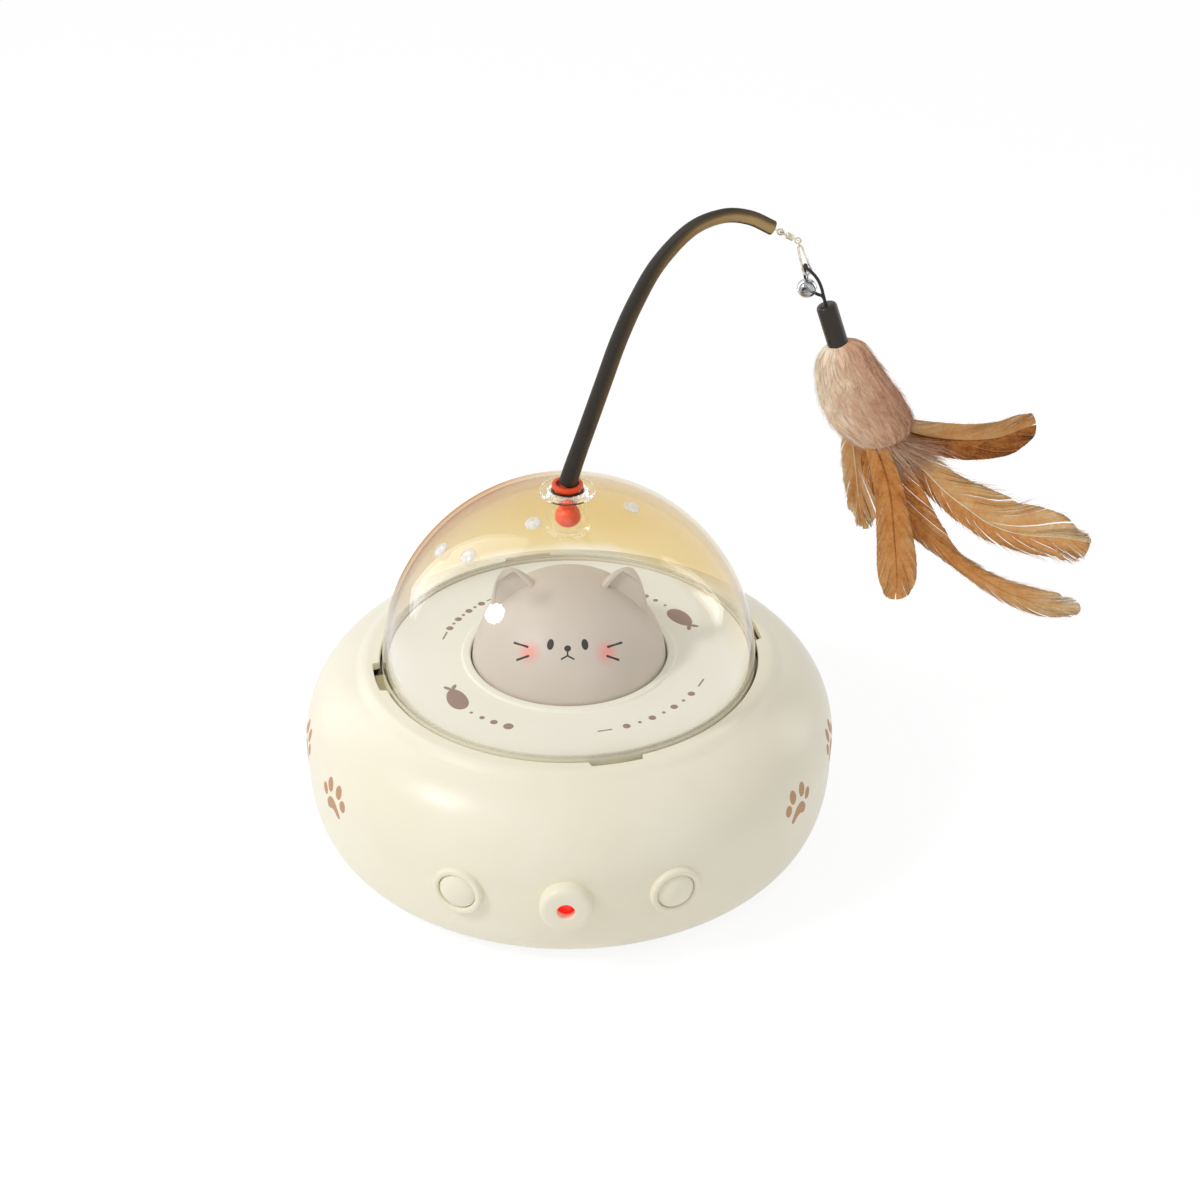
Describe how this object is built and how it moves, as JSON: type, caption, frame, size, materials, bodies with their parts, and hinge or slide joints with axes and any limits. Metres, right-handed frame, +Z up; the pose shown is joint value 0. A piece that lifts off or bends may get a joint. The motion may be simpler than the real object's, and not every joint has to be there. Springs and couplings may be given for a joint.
{
  "type": "rotating feather cat toy",
  "caption": "Battery cat toy: round base with a turning disc and clear dome over a fixed cat's head, a springy wand with bell and feathers, push buttons and a light spot.",
  "frame": {"origin": "on the floor under the middle of the round base, at the undersides of the feet", "axes": "+Z up; -Y is the front, with the buttons and the light spot; +X is the side that the wand leans to at rest"},
  "size_m": [0.2841, 0.205, 0.2444],
  "materials": {
    "cream_plastic": "satin cream plastic",
    "disc_plastic": "matt off-white plastic with printed ornaments",
    "head_plastic": "satin grey-beige plastic",
    "clear_plastic": "clear polished plastic",
    "orange_rubber": "smooth orange rubber",
    "black_rubber": "smooth near-black rubber",
    "red_wire": "red insulation",
    "steel": "bright steel",
    "white_plastic": "white moulded plastic",
    "dark_plastic": "dark moulded plastic",
    "grey_rubber": "matt grey rubber",
    "red_lens": "polished red plastic",
    "brass": "turned brass",
    "board_green": "circuit board",
    "cell_wrap": "plastic-wrapped cell, given aluminium's density because a real cell weighs that much",
    "fluff": "soft down",
    "feather": "golden brown feather"
  },
  "bodies": {
    "base": {"base_shell": "cream_plastic", "bottom_cover": "cream_plastic", "foot_pad_1": "grey_rubber", "foot_pad_2": "grey_rubber", "foot_pad_3": "grey_rubber", "foot_pad_4": "grey_rubber", "cover_screw_1": "steel", "cover_screw_2": "steel", "cover_screw_3": "steel", "cover_screw_4": "steel", "chassis_plate": "white_plastic", "chassis_screw_1": "steel", "chassis_screw_2": "steel", "chassis_screw_3": "steel", "thrust_washer": "white_plastic", "cat_head": "head_plastic", "head_carrier": "white_plastic", "head_screw_1": "steel", "head_screw_2": "steel", "gearbox": "dark_plastic", "motor_can": "steel", "motor_screw_1": "steel", "motor_screw_2": "steel", "battery_cell": "cell_wrap", "battery_cradle": "dark_plastic", "battery_lead_red": "red_wire", "battery_lead_black": "black_rubber", "control_board": "board_green", "usb_port": "steel", "switch_module_left": "board_green", "switch_module_right": "board_green", "button_bezel_left": "cream_plastic", "button_bezel_right": "cream_plastic", "laser_boss": "cream_plastic", "laser_module": "brass", "laser_lens": "red_lens"},
    "turntable": {"turntable_disc": "disc_plastic", "ring_gear": "white_plastic"},
    "pinion": {"pinion_gear": "white_plastic", "motor_shaft": "steel"},
    "dome_cover": {"dome": "clear_plastic", "wand_socket": "clear_plastic"},
    "wand": {"wand_plug": "orange_rubber", "plug_seal": "black_rubber", "wand_tube": "black_rubber", "tip_wire": "steel"},
    "button_left": {"button_cap_left": "cream_plastic"},
    "button_right": {"button_cap_right": "cream_plastic"},
    "leader": {"barrel_swivel": "steel"},
    "swivel": {"swivel_eye": "steel"},
    "snap": {"snap_clasp": "steel"},
    "jingle_bell": {"bell": "steel"},
    "lure": {"elastic_loop": "black_rubber", "ferrule": "black_rubber", "fluff": "fluff", "feather_top": "feather", "feather_wide": "feather", "feather_long": "feather", "feather_drooping": "feather", "feather_short": "feather"}
  },
  "joints": [
    {"name": "turntable_spin", "type": "hinge", "parent": "base", "child": "turntable", "pos_m": [0, 0, 0.0695], "axis": [0, 0, 1], "continuous": true},
    {"name": "pinion_spin", "type": "hinge", "parent": "base", "child": "pinion", "pos_m": [-0.02546, 0.02546, 0.055], "axis": [0, 0, 1], "continuous": true},
    {"name": "dome_lift", "type": "slide", "parent": "turntable", "child": "dome_cover", "axis": [0, 0, 1], "range_m": [0, 0.06]},
    {"name": "wand_pull", "type": "slide", "parent": "dome_cover", "child": "wand", "axis": [0, 0, 1], "range_m": [0, 0.02]},
    {"name": "button_left_press", "type": "slide", "parent": "base", "child": "button_left", "axis": [0.3746, 0.9272, 0], "range_m": [0, 0.0008], "stiffness_N_per_m": 600},
    {"name": "button_right_press", "type": "slide", "parent": "base", "child": "button_right", "axis": [-0.3746, 0.9272, 0], "range_m": [0, 0.0008], "stiffness_N_per_m": 600},
    {"name": "leader_swing", "type": "hinge", "parent": "wand", "child": "leader", "pos_m": [0.07162, 0, 0.23581], "axis": [0, -1, 0], "range_deg": [-6, 30]},
    {"name": "swivel_spin", "type": "hinge", "parent": "leader", "child": "swivel", "pos_m": [0.07598, 0, 0.23357], "axis": [0.8889, 0, -0.458], "continuous": true},
    {"name": "snap_swing", "type": "hinge", "parent": "swivel", "child": "snap", "pos_m": [0.07758, 0, 0.23274], "axis": [0, -1, 0], "range_deg": [-8, 30]},
    {"name": "bell_swing", "type": "hinge", "parent": "snap", "child": "jingle_bell", "pos_m": [0.08126, 0, 0.22206], "axis": [0, -1, 0], "range_deg": [-35, 3]},
    {"name": "lure_swing", "type": "hinge", "parent": "snap", "child": "lure", "pos_m": [0.08075, 0, 0.22366], "axis": [0, -1, 0], "range_deg": [-4, 30]}
  ],
  "couplings": [
    {"joint": "pinion_spin", "follows": "turntable_spin", "ratio": 4}
  ]
}
